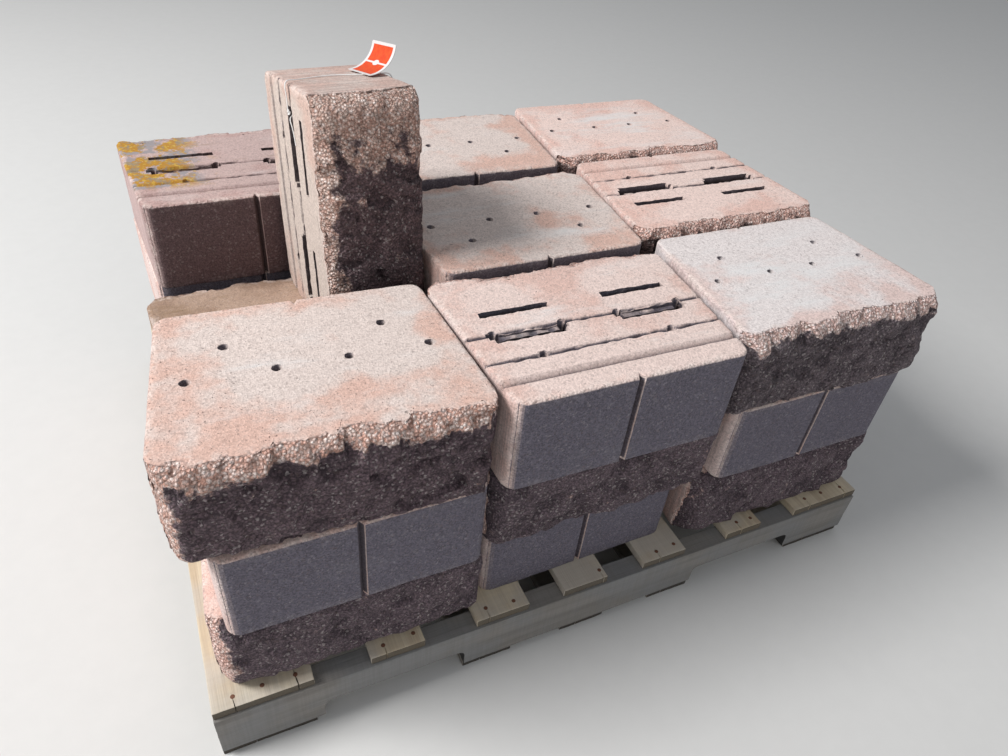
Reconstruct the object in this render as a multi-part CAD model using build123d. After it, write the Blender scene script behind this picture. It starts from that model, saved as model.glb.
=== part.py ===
from build123d import *
from math import atan2, cos, degrees, radians, sin, tan
from random import Random
import os

# A wooden pallet loaded with solid concrete retaining-wall blocks, stacked dry in three layers,
# with one more block stood on end in a gap of the top layer. Millimetres. The origin is on the
# floor under the centre of the pallet, +X runs along the stringers, +Y runs from the front of
# the pallet to its back and +Z is up.
INCH = 25.4

# Pallet
PALLET_LENGTH = 48 * INCH
PALLET_DEPTH = 40 * INCH
STRINGER_WIDTH = 38.1
STRINGER_HEIGHT = 88.9
BOARD_THICKNESS = 15.9
LEAD_BOARD_WIDTH = 139.7
INNER_BOARD_WIDTH = 88.9
BOARD_SETBACK = 4.0
# Sawn widths of the deck boards, left to right, and how far each was nailed from its even place
DECK_BOARD_WIDTHS = (143.0, 86.0, 93.0, 85.0, 90.0, 80.0, 158.0)
DECK_BOARD_SHIFTS = (0.0, 4.0, 10.0, -6.0, -14.0, -2.0, 0.0)
NOTCH_FROM_END = 6 * INCH
NOTCH_LENGTH = 9 * INCH
NOTCH_HEIGHT = 38.1
NOTCH_RADIUS = 12.7

# One block, as it is cast: a wedge that narrows from its split face to its smooth rear face
BLOCK_HEIGHT = 152.4
BLOCK_DEPTH = 304.8
SPLIT_FACE_WIDTH = 406.4
REAR_FACE_WIDTH = 355.6
REAR_CORNER_RADIUS = 20.0
REAR_GROOVE_WIDTH = 12.0
REAR_GROOVE_DEPTH = 9.0
# How far the split face stands back from the full depth at its corners, its top and its foot,
# and how far its facets stray
SPLIT_CORNER_SETBACK = 34.0
SPLIT_CORNER_WIDTH = 26.0
SPLIT_TOP_SETBACK = 18.0
SPLIT_FOOT_SETBACK = 15.0
SPLIT_WAVE = 4.0
# Where the split face's facets meet: shares of the half width across it, and of the height
FACETS_ACROSS = (1, 1 / 3, -1 / 3, -1)
LOW_FACET, MIDDLE_FACET, HIGH_FACET = 1 / 4, 5 / 8, 7 / 8

# Pin holes through the full height, in two rows across the block
PIN_HOLE_DIAMETER = 12.7
FOUR_ROW_FROM_REAR = 144.5
FOUR_ROW_ACROSS = (-150.0, -44.7, 44.7, 150.0)
TWO_ROW_FROM_REAR = 85.5
TWO_ROW_ACROSS = (-100.5, 100.5)

# Pin slots and grooves in the face that the mould's plate forms
SLOT_WIDTH = 12.0
SLOT_DEPTH = 38.0
SLOT_INNER_END = 43.0
SLOT_OUTER_END = 152.0
FAR_SLOT_FROM_REAR = 190.0
NEAR_SLOT_BEHIND_HOLES = 14.5
PIN_GROOVE_WIDTH = 5.0
PIN_GROOVE_DEPTH = 3.0
STEP_GROOVE_WIDTH = 16.0
STEP_GROOVE_DEPTH = 4.0
STEP_GROOVE_FROM_REAR = 44.0

# The string through the standing block and the tag that it holds. The tag is a strip of plastic
# that curls up from the edge it rests on.
STRING_DIAMETER = 1.6
STRING_SIDES = 6
ARC_SHARE = 0.45
STRING_LIFT = 1.3
STRING_CLEAR_OF_EDGE = 4.0
TAG_WIDTH = 74.0
TAG_THICKNESS = 0.8
TAG_CURL_RADIUS = 47.0
TAG_CURL_ANGLE = 79.0
TAG_PLACE = (114.0, 194.0)
TAG_TURN = -7.0
TAG_REST_GAP = 0.5

# Lowest and highest levels of the layers
FLOOR_TO_STRINGER = BOARD_THICKNESS
DECK_UNDERSIDE = FLOOR_TO_STRINGER + STRINGER_HEIGHT
DECK_TOP = DECK_UNDERSIDE + BOARD_THICKNESS
LAYER_LEVELS = {
    "bottom": DECK_TOP,
    "middle": DECK_TOP + BLOCK_HEIGHT,
    "top": DECK_TOP + 2 * BLOCK_HEIGHT,
}

# The stack: columns across the pallet and rows into it, each block nudged as it was set down
SIDE_GAP = 12.0
ROW_GAP = 1.7
STACK_SHIFT_X = 4.0
STACK_FRONT_SETBACK = 6.0
COLUMNS = {"left": -1, "centre": 0, "right": 1}
ROWS = {"front": 0, "mid": 1, "back": 2}

# Each laid block: split face to the front or the back, slotted face up or down, and the nudge
# along X, along Y and about Z in degrees
FRONT, BACK = 1, -1
LAID_BLOCKS = {
    "block_top_front_left": (FRONT, False, (-9, -10, -2.1)),
    "block_top_front_centre": (BACK, True, (-16, -12, -0.7)),
    "block_top_front_right": (FRONT, False, (-13, -5, -0.4)),
    "block_top_mid_centre": (BACK, False, (7, -13, -0.3)),
    "block_top_mid_right": (FRONT, True, (5, 0, -0.6)),
    "block_top_back_left": (BACK, True, (25, 2, 0.0)),
    "block_top_back_centre": (BACK, False, (14, -2, -0.4)),
    "block_top_back_right": (FRONT, False, (14, 1, 0.0)),
    "block_middle_front_left": (BACK, False, (4, 4, 0.0)),
    "block_middle_front_centre": (FRONT, False, (-1, 4, 0.4)),
    "block_middle_front_right": (BACK, False, (4, 12, -0.4)),
    "block_middle_mid_left": (BACK, True, (1, 9, 0.3)),
    "block_middle_mid_centre": (FRONT, False, (0, 5, 0.0)),
    "block_middle_mid_right": (BACK, False, (2, 15, 0.0)),
    "block_middle_back_left": (BACK, False, (2, 10, -0.4)),
    "block_middle_back_centre": (FRONT, False, (1, 6, 0.2)),
    "block_middle_back_right": (BACK, False, (1, 16, 0.3)),
    "block_bottom_front_left": (FRONT, False, (0, 8, 0.3)),
    "block_bottom_front_centre": (BACK, False, (-10, 46, 0.8)),
    "block_bottom_front_right": (FRONT, False, (3, 12, 0.0)),
    "block_bottom_mid_left": (FRONT, False, (0, 10, 0.0)),
    "block_bottom_mid_centre": (BACK, False, (-8, 48, 0.4)),
    "block_bottom_mid_right": (FRONT, False, (3, 14, 0.2)),
    "block_bottom_back_left": (FRONT, False, (1, 12, 0.0)),
    "block_bottom_back_centre": (BACK, False, (-6, 50, 0.0)),
    "block_bottom_back_right": (FRONT, False, (3, 16, 0.0)),
}
# Blocks whose two large faces can be seen or reached carry their holes, slots and grooves
OPEN_FACED = [name for name in LAID_BLOCKS if name.startswith("block_top")]
OPEN_FACED.append("block_middle_mid_left")

# The standing block rests on one tapered side, along the side of the block to its right. Its
# split face was struck off short.
STANDING_SIDE_GAP = 7.0
STANDING_FRONT_GAP = 24.0
STANDING_SHORT = 30.0
STANDING_SKEW = -1.0
TAPER = degrees(atan2((SPLIT_FACE_WIDTH - REAR_FACE_WIDTH) / 2, BLOCK_DEPTH))


def half_width(from_rear):
    """Half the block's width at a distance from its rear face."""
    grow = (SPLIT_FACE_WIDTH - REAR_FACE_WIDTH) / 2 / BLOCK_DEPTH
    return REAR_FACE_WIDTH / 2 + grow * from_rear


def split_blank(seed, short):
    """A block's wedge with its rough face as broken facets, its rear face on Y = 0."""
    wave = Random(seed)
    depth = BLOCK_DEPTH - short

    def stray():
        return wave.uniform(-SPLIT_WAVE, SPLIT_WAVE)

    side_end = depth - SPLIT_CORNER_SETBACK
    left_end, right_end = side_end + stray(), side_end + stray()
    corner = half_width(depth) - SPLIT_CORNER_WIDTH
    facets = [(share * corner + stray(), depth - SPLIT_WAVE + stray()) for share in FACETS_ACROSS]
    plan = Polyline(
        (-REAR_FACE_WIDTH / 2, 0),
        (REAR_FACE_WIDTH / 2, 0),
        (half_width(right_end), right_end),
        *facets,
        (-half_width(left_end), left_end),
        close=True,
    )
    wedge = extrude(make_face(plan), BLOCK_HEIGHT)
    rear_edges = wedge.edges().filter_by(Axis.Z).sort_by(Axis.Y)[:2]
    wedge = fillet(rear_edges, REAR_CORNER_RADIUS)
    profile = Polyline(
        (0, 0),
        (depth - SPLIT_FOOT_SETBACK + stray(), 0),
        (depth - SPLIT_WAVE, BLOCK_HEIGHT * LOW_FACET + stray()),
        (depth, BLOCK_HEIGHT * MIDDLE_FACET + stray()),
        (depth - SPLIT_WAVE, BLOCK_HEIGHT * HIGH_FACET),
        (depth - SPLIT_TOP_SETBACK + stray(), BLOCK_HEIGHT),
        (0, BLOCK_HEIGHT),
        close=True,
    )
    side = extrude(Plane.YZ * make_face(profile), SPLIT_FACE_WIDTH / 2, both=True)
    return wedge & side


def rear_groove():
    """The upright groove down the middle of the rear face."""
    outline = Polyline(
        (-REAR_GROOVE_WIDTH / 2, 0),
        (0, REAR_GROOVE_DEPTH),
        (REAR_GROOVE_WIDTH / 2, 0),
        close=True,
    )
    return extrude(make_face(outline), BLOCK_HEIGHT)


def pin_places():
    """Where the pin holes stand, from the middle of the rear face."""
    four = [(x, FOUR_ROW_FROM_REAR) for x in FOUR_ROW_ACROSS]
    return four + [(x, TWO_ROW_FROM_REAR) for x in TWO_ROW_ACROSS]


def pin_holes():
    """The six pin holes, through the full height."""
    circles = Locations(*pin_places()) * Circle(PIN_HOLE_DIAMETER / 2)
    return extrude(Sketch() + circles, BLOCK_HEIGHT)


def slots_and_grooves():
    """What the mould's plate leaves in the slotted face, at the top of the block."""
    length = SLOT_OUTER_END - SLOT_INNER_END
    middle = (SLOT_OUTER_END + SLOT_INNER_END) / 2
    near = FOUR_ROW_FROM_REAR - NEAR_SLOT_BEHIND_HOLES
    places = [(side * middle, y) for side in (-1, 1) for y in (FAR_SLOT_FROM_REAR, near)]
    slots = Sketch() + Locations(*places) * Rectangle(length, SLOT_WIDTH)
    cut = extrude(Pos(0, 0, BLOCK_HEIGHT) * slots, -SLOT_DEPTH)
    across = SPLIT_FACE_WIDTH
    for y in (FOUR_ROW_FROM_REAR, TWO_ROW_FROM_REAR):
        cut += Pos(0, y, BLOCK_HEIGHT) * Box(across, PIN_GROOVE_WIDTH, 2 * PIN_GROOVE_DEPTH)
    step = Polyline(
        (STEP_GROOVE_FROM_REAR - STEP_GROOVE_WIDTH / 2, BLOCK_HEIGHT),
        (STEP_GROOVE_FROM_REAR, BLOCK_HEIGHT - STEP_GROOVE_DEPTH),
        (STEP_GROOVE_FROM_REAR + STEP_GROOVE_WIDTH / 2, BLOCK_HEIGHT),
        close=True,
    )
    cut += extrude(Plane.YZ * make_face(step), across / 2, both=True)
    return cut


def block(seed, open_faced, short=0.0):
    """One block, its rear face on Y = 0, slotted face up and standing on Z = 0."""
    unit = split_blank(seed, short) - rear_groove()
    if open_faced:
        unit = unit - pin_holes() - slots_and_grooves()
    return unit


def side_pitch(one_side, other_side):
    """Distance between neighbours in a row: blocks that face opposite ways nest side by side."""
    if one_side == other_side:
        return 2 * half_width(BLOCK_DEPTH - SPLIT_CORNER_SETBACK) + SIDE_GAP
    return (SPLIT_FACE_WIDTH + REAR_FACE_WIDTH) / 2 + SIDE_GAP


def block_middle(name):
    """Where the middle of a laid block's underside is."""
    split_side, _, (nudge_x, nudge_y, _) = LAID_BLOCKS[name]
    layer, row, column = name.split("_")[1:]
    x = STACK_SHIFT_X + nudge_x
    if column != "centre":
        centre_side = LAID_BLOCKS[f"block_{layer}_{row}_centre"][0]
        x += COLUMNS[column] * side_pitch(split_side, centre_side)
    row_pitch = BLOCK_DEPTH + ROW_GAP
    front_row_y = BLOCK_DEPTH / 2 + STACK_FRONT_SETBACK - PALLET_DEPTH / 2
    y = front_row_y + ROWS[row] * row_pitch + nudge_y
    return x, y, LAYER_LEVELS[layer]


def laid_block(name, seed):
    """A block set down flat in its place in the stack."""
    split_side, slots_up, (_, _, turn) = LAID_BLOCKS[name]
    unit = Pos(0, -BLOCK_DEPTH / 2, -BLOCK_HEIGHT / 2) * block(seed, name in OPEN_FACED)
    if not slots_up:
        unit = Rot(0, 180, 0) * unit
    if split_side == FRONT:
        unit = Rot(0, 0, 180) * unit
    return Pos(*block_middle(name)) * Pos(0, 0, BLOCK_HEIGHT / 2) * Rot(0, 0, turn) * unit


def standing_place():
    """The standing block's own axes: from its slots, from its front, and up its leaning side."""
    right_x, _, _ = block_middle("block_top_mid_centre")
    _, front_y, level = block_middle("block_top_front_left")
    x = right_x - REAR_FACE_WIDTH / 2 - STANDING_SIDE_GAP - BLOCK_HEIGHT
    y = front_y + BLOCK_DEPTH / 2 + STANDING_FRONT_GAP - STANDING_SHORT
    return Pos(x, y, level) * Rot(0, 0, TAPER + STANDING_SKEW) * Rot(-TAPER, 0, 0)


def standing_block(seed):
    """The block stood on one tapered side, split face to the front, slotted face to the left."""
    unit = Pos(-SPLIT_FACE_WIDTH / 2, -BLOCK_DEPTH, -BLOCK_HEIGHT) * block(seed, True, STANDING_SHORT)
    upright = Plane(origin=(0, 0, 0), x_dir=(0, 0, -1), z_dir=(-1, 0, 0)).location
    return standing_place() * upright * unit


def top_of_standing_block(from_front):
    """How far up the standing block's axes its upper tapered side lies."""
    return SPLIT_FACE_WIDTH / 2 + half_width(BLOCK_DEPTH - from_front)


def string_points():
    """The string's route: a tail, the pin hole, and back over the top to the knot."""
    hole_depth = BLOCK_DEPTH - FOUR_ROW_FROM_REAR
    hole_up = SPLIT_FACE_WIDTH / 2 - FOUR_ROW_ACROSS[0]
    lift, clear, far = STRING_LIFT, STRING_CLEAR_OF_EDGE, BLOCK_HEIGHT
    place = standing_place()

    def over_top(from_slots, from_front, rise):
        up = top_of_standing_block(from_front) + rise
        return (place * Pos(from_slots, from_front, up)).position

    def beside(from_slots, from_front, from_hole):
        return (place * Pos(from_slots, from_front, hole_up + from_hole)).position

    return [
        beside(-lift, hole_depth - 13, -42),
        beside(-lift, hole_depth - 9, -22),
        beside(-clear, hole_depth - 1, -4),
        beside(12, hole_depth, 0),
        beside(42, hole_depth + 1, -2),
        beside(80, hole_depth, -3.5),
        beside(116, hole_depth - 1, -2),
        beside(far - 14, hole_depth, 0),
        beside(far + clear, hole_depth + 1, 4),
        beside(far + lift, hole_depth + 3, 22),
        over_top(far + clear, hole_depth + 6, clear),
        over_top(far - 20, hole_depth + 14, lift + 0.6),
        over_top(far - 48, hole_depth + 27, lift),
        over_top(70, hole_depth + 36, lift),
        over_top(38, hole_depth + 28, lift),
        over_top(16, hole_depth + 14, lift + 0.6),
        over_top(-clear, hole_depth + 5, clear),
        beside(-lift - 1.0, hole_depth + 3, 20),
        beside(-lift - 2.0, hole_depth + 2, 3),
    ]


def bend_radii(points):
    """The largest arc that fits each corner of a route, from its runs and its turn."""
    radii = []
    for before, here, after in zip(points, points[1:], points[2:]):
        into, out = here - before, after - here
        half_turn = radians(into.get_angle(out)) / 2
        radii.append(ARC_SHARE * min(into.length, out.length) / tan(half_turn))
    return radii


def tag_string():
    """The thin string, as straight runs joined by tangent arcs."""
    points = string_points()
    radii = bend_radii(points)
    print("string radii", [round(radius, 1) for radius in radii])
    route = FilletPolyline(*points, radius=radii)
    print("string length", round(route.length, 1))
    ring = Plane(origin=route @ 0, z_dir=route % 0) * RegularPolygon(STRING_DIAMETER / 2, STRING_SIDES)
    return sweep(ring, path=route)


def hang_tag():
    """The plastic tag, curled up from the edge that rests on the standing block."""
    outer, inner = TAG_CURL_RADIUS, TAG_CURL_RADIUS - TAG_THICKNESS

    def on_arc(radius, angle):
        return radius * sin(radians(angle)), outer - radius * cos(radians(angle))

    foot, middle, tip = 0, TAG_CURL_ANGLE / 2, TAG_CURL_ANGLE
    strip = Line(on_arc(outer, foot), on_arc(inner, foot))
    strip += ThreePointArc(on_arc(inner, foot), on_arc(inner, middle), on_arc(inner, tip))
    strip += Line(on_arc(inner, tip), on_arc(outer, tip))
    strip += ThreePointArc(on_arc(outer, tip), on_arc(outer, middle), on_arc(outer, foot))
    tag = extrude(Plane.XZ * make_face(strip), TAG_WIDTH / 2, both=True)
    across, from_front = TAG_PLACE
    above_string = STRING_LIFT + STRING_DIAMETER / 2 + TAG_REST_GAP
    place = Pos(across, from_front, top_of_standing_block(from_front) + above_string)
    return standing_place() * place * Rot(-TAPER, 0, 0) * Rot(0, 0, -TAG_TURN) * tag


def stringer(middle_y):
    """One notched stringer on edge."""
    beam = Pos(0, middle_y, FLOOR_TO_STRINGER + STRINGER_HEIGHT / 2)
    beam = beam * Box(PALLET_LENGTH, STRINGER_WIDTH, STRINGER_HEIGHT)
    for side in (-1, 1):
        middle_x = side * (PALLET_LENGTH / 2 - NOTCH_FROM_END - NOTCH_LENGTH / 2)
        notch = Box(NOTCH_LENGTH, STRINGER_WIDTH, 2 * NOTCH_HEIGHT)
        upper = notch.edges().filter_by(Axis.Y).group_by(Axis.Z)[-1]
        notch = fillet(upper, NOTCH_RADIUS)
        beam -= Pos(middle_x, middle_y, FLOOR_TO_STRINGER) * notch
    return beam


def board(middle_x, width, underside):
    """One board across the stringers."""
    length = PALLET_DEPTH - 2 * BOARD_SETBACK
    return Pos(middle_x, 0, underside + BOARD_THICKNESS / 2) * Box(width, length, BOARD_THICKNESS)


def deck_boards():
    """The deck boards by name, at even gaps apart from their shifts."""
    gap = (PALLET_LENGTH - sum(DECK_BOARD_WIDTHS)) / (len(DECK_BOARD_WIDTHS) - 1)
    boards = {}
    edge = -PALLET_LENGTH / 2
    for i, (width, shift) in enumerate(zip(DECK_BOARD_WIDTHS, DECK_BOARD_SHIFTS), start=1):
        boards[f"deck_board_{i}"] = board(edge + width / 2 + shift, width, DECK_UNDERSIDE)
        edge += width + gap
    return boards


def bottom_boards():
    """The bottom boards by name: one at each end, one in the middle, one inside each notch."""
    lead = (PALLET_LENGTH - LEAD_BOARD_WIDTH) / 2
    inner = PALLET_LENGTH / 2 - NOTCH_FROM_END - NOTCH_LENGTH - INNER_BOARD_WIDTH / 2
    spots = [(-lead, LEAD_BOARD_WIDTH), (-inner, INNER_BOARD_WIDTH), (0, INNER_BOARD_WIDTH)]
    spots += [(inner, INNER_BOARD_WIDTH), (lead, LEAD_BOARD_WIDTH)]
    return {f"bottom_board_{i}": board(x, width, 0) for i, (x, width) in enumerate(spots, start=1)}


def pallet_parts():
    """The pallet's pieces by name."""
    edge = (PALLET_DEPTH - STRINGER_WIDTH) / 2
    parts = {
        "stringer_front": stringer(-edge),
        "stringer_centre": stringer(0),
        "stringer_back": stringer(edge),
    }
    return parts | deck_boards() | bottom_boards()


def all_parts():
    """Every piece of the loaded pallet by name."""
    parts = pallet_parts()
    for seed, name in enumerate(LAID_BLOCKS):
        parts[name] = laid_block(name, seed)
    parts["block_standing"] = standing_block(len(LAID_BLOCKS))
    parts["tag_string"] = tag_string()
    parts["hang_tag"] = hang_tag()
    return parts


if __name__ == "__main__":
    os.makedirs("parts", exist_ok=True)
    for name, part in all_parts().items():
        export_step(part, f"parts/{name}.step")
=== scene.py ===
from itertools import product
from math import atan2, cos, degrees, pi, radians, sin

import bpy
import numpy as np
from mathutils import Matrix, Vector


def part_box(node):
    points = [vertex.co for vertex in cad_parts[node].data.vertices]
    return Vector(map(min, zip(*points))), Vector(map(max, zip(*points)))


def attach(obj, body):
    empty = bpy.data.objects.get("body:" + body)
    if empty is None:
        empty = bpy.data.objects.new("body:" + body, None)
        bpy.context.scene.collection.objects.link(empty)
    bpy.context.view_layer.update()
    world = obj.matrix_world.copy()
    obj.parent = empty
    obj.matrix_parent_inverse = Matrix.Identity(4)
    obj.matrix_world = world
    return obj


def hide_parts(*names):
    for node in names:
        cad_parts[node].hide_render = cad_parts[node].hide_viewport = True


# A wooden pallet with three layers of split-face concrete wall blocks, one of them stood on end
# with a string and a tag. Blocks and boards are meshed in millimetres in their own axes and then
# placed, in metres, where the frame says.
MM = 0.001

# Camera at the photograph's viewing angle, in the frame's metres
CAMERA_PLACE = (-0.5283, -1.0869, 1.1608)
CAMERA_LOOKS = (0.37077, 0.68199, -0.63041)
CAMERA_ROLL = 6.4435
CAMERA_LENS = 26.447
CAMERA_SENSOR = 36.0

# Block, in its own axes: X across, Y from the smooth rear face to the split face, Z up to the
# slotted face. Millimetres.
BLOCK_HEIGHT = 152.4
BLOCK_DEPTH = 304.8
REAR_FACE_WIDTH = 355.6
SPLIT_FACE_WIDTH = 406.4
REAR_CORNER_RADIUS = 20.0
REAR_GROOVE_WIDTH = 12.0
REAR_GROOVE_DEPTH = 9.0
SPLIT_CORNER_SETBACK = 30.0
SPLIT_CORNER_WIDTH = 30.0
SPLIT_EDGE_SETBACK = 16.0
SPLIT_EDGE_HEIGHT = 24.0
PIN_HOLE_RADIUS = 6.35
FOUR_ROW_FROM_REAR = 144.5
FOUR_ROW_ACROSS = (-150.0, -44.7, 44.7, 150.0)
TWO_ROW_FROM_REAR = 85.5
TWO_ROW_ACROSS = (-100.5, 100.5)
SLOT_WIDTH = 12.0
SLOT_DEPTH = 38.0
SLOT_INNER_END = 43.0
SLOT_OUTER_END = 152.0
FAR_SLOT_FROM_REAR = 190.0
NEAR_SLOT_FROM_REAR = 130.0
PIN_GROOVE_WIDTH = 6.5
PIN_GROOVE_DEPTH = 4.5
STEP_GROOVE_WIDTH = 14.0
STEP_GROOVE_DEPTH = 7.0
STEP_GROOVE_FROM_REAR = 44.0
WORN_ARRIS = 2.6
# The rough face's pale band along its top and left edges, partly painted light: only the top layer blocks, the
# left-hand blocks and the standing block carry it
BROW_PAINTED_LIGHT_HEIGHT = 24.0
STANDING_BROW_PAINTED_LIGHT_HEIGHT = 95.0
BROW_PAINTED_LIGHT_WIDTH = 24.0
NO_BROW_PAINTED_LIGHT = 0.1
REAR_INSET = 0.8
SIDE_INSET = 0.25

# Pallet, millimetres
NOTCH_FROM_END = 152.4
NOTCH_LENGTH = 228.6
NOTCH_HEIGHT = 38.1
NOTCH_RADIUS = 12.7

# String, in metres, and what its route keeps from the standing block, in millimetres
STRING_DIAMETER = 0.0016
STRING_LIFT = 1.3
STRING_CLEAR_OF_EDGE = 4.0

# Tag, millimetres and degrees
TAG_WIDTH = 74.0
TAG_THICKNESS = 0.8
TAG_CORNER_RADIUS = 3.0
TAG_CURL_RADIUS = 47.0
TAG_CURL_ANGLE = 79.0
TAG_PLACE = (114.0, 194.0)
TAG_TURN = -7.0
TAG_REST_GAP = STRING_LIFT + 1000 * STRING_DIAMETER / 2 + 0.5
TAPER = degrees(atan2((SPLIT_FACE_WIDTH - REAR_FACE_WIDTH) / 2, BLOCK_DEPTH))

UP, DOWN, LEFT = (0, 0, 1), (0, 0, -1), (-1, 0, 0)
SHARP_ANGLE = 50.0

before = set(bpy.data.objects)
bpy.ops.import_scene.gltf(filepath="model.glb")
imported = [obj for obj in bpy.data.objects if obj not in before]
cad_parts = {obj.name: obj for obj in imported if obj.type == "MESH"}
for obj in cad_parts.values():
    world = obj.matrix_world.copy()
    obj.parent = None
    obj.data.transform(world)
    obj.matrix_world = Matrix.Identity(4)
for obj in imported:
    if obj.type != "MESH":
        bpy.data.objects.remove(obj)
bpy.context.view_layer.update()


def lattice(cells, seed):
    """A fixed random number from 0 to 1 for each whole-number cell."""
    mixed = cells[..., 0] * 73856093 ^ cells[..., 1] * 19349663 ^ cells[..., 2] * 83492791
    mixed = (mixed ^ (seed * 40503 + 977)) * 668265263
    mixed = (mixed ^ (mixed >> 15)) * 374761393
    return ((mixed ^ (mixed >> 13)) & 0xFFFFFF) / 0xFFFFFF


def noise(points, size, seed):
    """Smooth noise from -1 to 1 with lumps of one size."""
    at = points / size
    base = np.floor(at).astype(np.int64)
    part = at - base
    part = part * part * (3 - 2 * part)
    total = np.zeros(len(points))
    for corner in product((0, 1), repeat=3):
        chosen = np.array(corner)
        weight = np.where(chosen == 1, part, 1 - part).prod(axis=1)
        total += weight * lattice(base + chosen, seed)
    return 2 * total - 1


def facets(points, size, seed):
    """Broken facets: each cell of a jittered lattice is a tilted plane."""
    at = points / size
    base = np.floor(at).astype(np.int64)
    nearest = np.full(len(points), 9.0)
    value = np.zeros(len(points))
    for corner in product((-1, 0, 1), repeat=3):
        cell = base + np.array(corner)
        jitter = np.stack([lattice(cell, seed + i) for i in range(3)], axis=1)
        away = at - cell - jitter
        distance = (away**2).sum(axis=1)
        tilt = np.stack([lattice(cell, seed + 3 + i) for i in range(3)], axis=1) - 0.5
        plane = 1.6 * (away * tilt).sum(axis=1) + lattice(cell, seed + 6) - 0.5
        closer = distance < nearest
        value = np.where(closer, plane, value)
        nearest = np.where(closer, distance, nearest)
    return value


def smooth(value):
    """A soft step from 0 to 1."""
    value = np.clip(value, 0, 1)
    return value * value * (3 - 2 * value)


def spaced(length, pitch, extra=()):
    """Grid places over a length: closer at both ends, and at the extra places."""
    ends = [0, 1.2, 2.6, 4.4, 7]
    middle = np.linspace(ends[-1], length - ends[-1], max(2, round((length - 14) / pitch) + 1))
    places = ends + list(middle[1:-1]) + [length - end for end in ends]
    kept = [p for p in places if all(abs(p - e) > 0.45 * pitch for e in extra) or p in (0, length)]
    return np.array(sorted(kept + list(extra)))


def box_grid(xs, ys, zs):
    """A closed box as a grid: its points and its four-sided faces, facing out."""
    counts = [len(xs), len(ys), len(zs)]
    keys, faces = [], []

    def side(axis, level, flip):
        one, two = [a for a in range(3) if a != axis]
        i, j = np.meshgrid(np.arange(counts[one]), np.arange(counts[two]), indexing="ij")
        index = [None] * 3
        index[one], index[two], index[axis] = i, j, np.full_like(i, level)
        key = (index[0] * counts[1] + index[1]) * counts[2] + index[2]
        keys.append(key.ravel())
        quads = np.stack([key[:-1, :-1], key[1:, :-1], key[1:, 1:], key[:-1, 1:]], axis=-1)
        quads = quads.reshape(-1, 4)
        faces.append(quads[:, ::-1] if flip else quads)

    for axis in range(3):
        side(axis, 0, axis != 1)
        side(axis, counts[axis] - 1, axis == 1)
    used, faces = np.unique(np.concatenate(keys)), np.concatenate(faces)
    faces = np.searchsorted(used, faces)
    z = used % counts[2]
    y = used // counts[2] % counts[1]
    x = used // (counts[2] * counts[1])
    return np.stack([xs[x], ys[y], zs[z]], axis=1), faces


def to_mesh(name, points, faces, marks=None):
    """A mesh in metres from points in millimetres, with a named number at each point."""
    mesh = bpy.data.meshes.new(name)
    mesh.from_pydata((points * MM).tolist(), [], faces.tolist())
    for label, values in (marks or {}).items():
        mark = mesh.attributes.new(label, "FLOAT", "POINT")
        mark.data.foreach_set("value", values.astype(np.float32))
    mesh.update()
    return mesh


def soften(points, low, high, radius):
    """Rounds the arrises of a box whose points lie between two corners."""
    radius = radius[:, None]
    core = np.clip(points, low + radius, high - radius)
    away = points - core
    return core + radius * away / np.maximum(np.linalg.norm(away, axis=1)[:, None], 1e-9)


def half_width(from_rear):
    """Half the block's width at a distance from its rear face."""
    return (REAR_FACE_WIDTH + (SPLIT_FACE_WIDTH - REAR_FACE_WIDTH) * from_rear / BLOCK_DEPTH) / 2


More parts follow.
